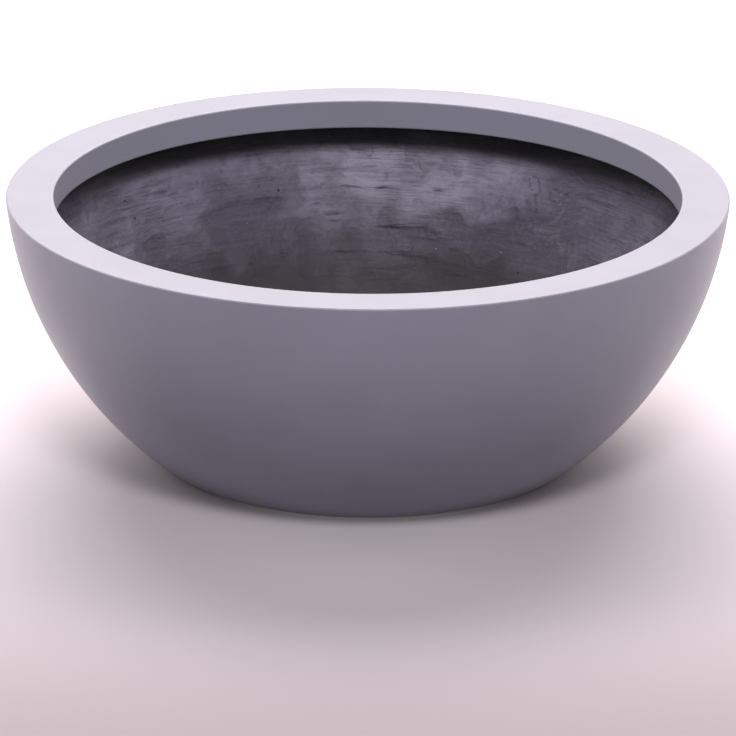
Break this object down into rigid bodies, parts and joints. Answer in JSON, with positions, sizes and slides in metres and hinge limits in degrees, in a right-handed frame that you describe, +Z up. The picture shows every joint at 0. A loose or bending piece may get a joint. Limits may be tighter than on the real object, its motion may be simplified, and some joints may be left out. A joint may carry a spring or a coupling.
{
  "type": "bowl planter",
  "caption": "Wide, low round planter bowl with a flat rim, a return inside the mouth, a raw fibre lining and a pull-out drain plug.",
  "frame": {"origin": "on the ground at the centre of the foot", "axes": "+Z up along the bowl's axis, out of the mouth; +X and +Y along the ground, all directions alike"},
  "size_m": [0.7995, 0.7995, 0.3],
  "materials": {
    "painted_shell": "moulded fiberglass, sprayed satin grey paint",
    "painted_rim": "moulded fiberglass, sprayed satin grey paint",
    "raw_laminate": "hand-laid chopped-strand laminate, raw and brushed with dark resin",
    "plug_rubber": "moulded black rubber, matt"
  },
  "bodies": {
    "bowl": {"outer_shell": "painted_shell", "fibre_lining": "raw_laminate", "rim_ring": "painted_rim", "joint_tape": "raw_laminate", "base_patch": "raw_laminate"},
    "plug": {"drain_plug": "plug_rubber"}
  },
  "joints": [
    {"name": "plug_pull", "type": "slide", "parent": "bowl", "child": "plug", "axis": [0, 0, 1], "range_m": [0, 0.33]}
  ]
}
